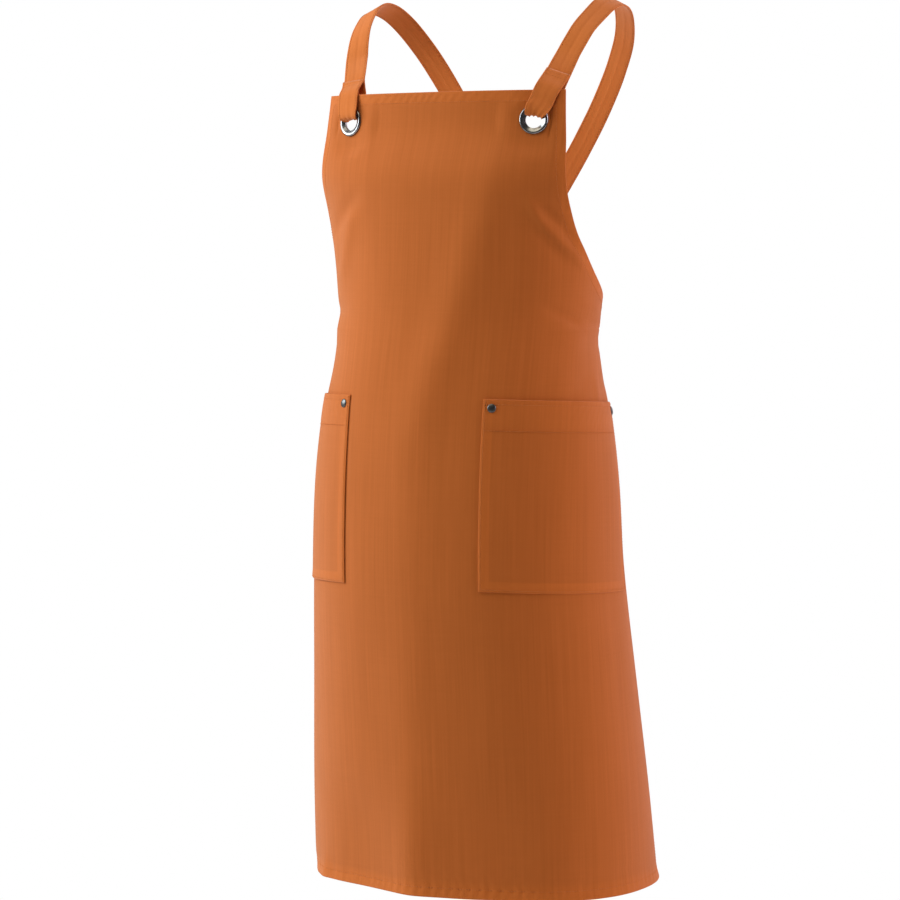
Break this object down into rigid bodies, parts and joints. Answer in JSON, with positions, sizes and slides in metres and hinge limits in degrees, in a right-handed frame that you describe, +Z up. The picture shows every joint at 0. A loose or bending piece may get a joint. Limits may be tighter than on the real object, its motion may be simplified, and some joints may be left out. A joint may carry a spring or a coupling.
{
  "type": "work apron",
  "caption": "Cloth bib apron in its worn form, with patch pockets riveted at the corners and straps that pass through metal eyelets and cross behind.",
  "frame": {"origin": "midway between the places where the two straps rest on the shoulders", "axes": "+Z up, -Y to the front of the bib, +X to the wearer's left"},
  "size_m": [0.391, 0.2738, 0.9678],
  "materials": {
    "panel_cloth": "matt cotton twill",
    "strap_cloth": "matt folded cotton twill",
    "eyelet_metal": "antique nickel",
    "rivet_metal": "dark gunmetal"
  },
  "bodies": {
    "root": {"body_panel": "panel_cloth", "pocket_left": "panel_cloth", "pocket_right": "panel_cloth", "strap_left": "strap_cloth", "strap_right": "strap_cloth", "eyelet_left": "eyelet_metal", "eyelet_right": "eyelet_metal", "rivet_left_inner": "rivet_metal", "rivet_left_outer": "rivet_metal", "rivet_right_inner": "rivet_metal", "rivet_right_outer": "rivet_metal"}
  },
  "joints": []
}
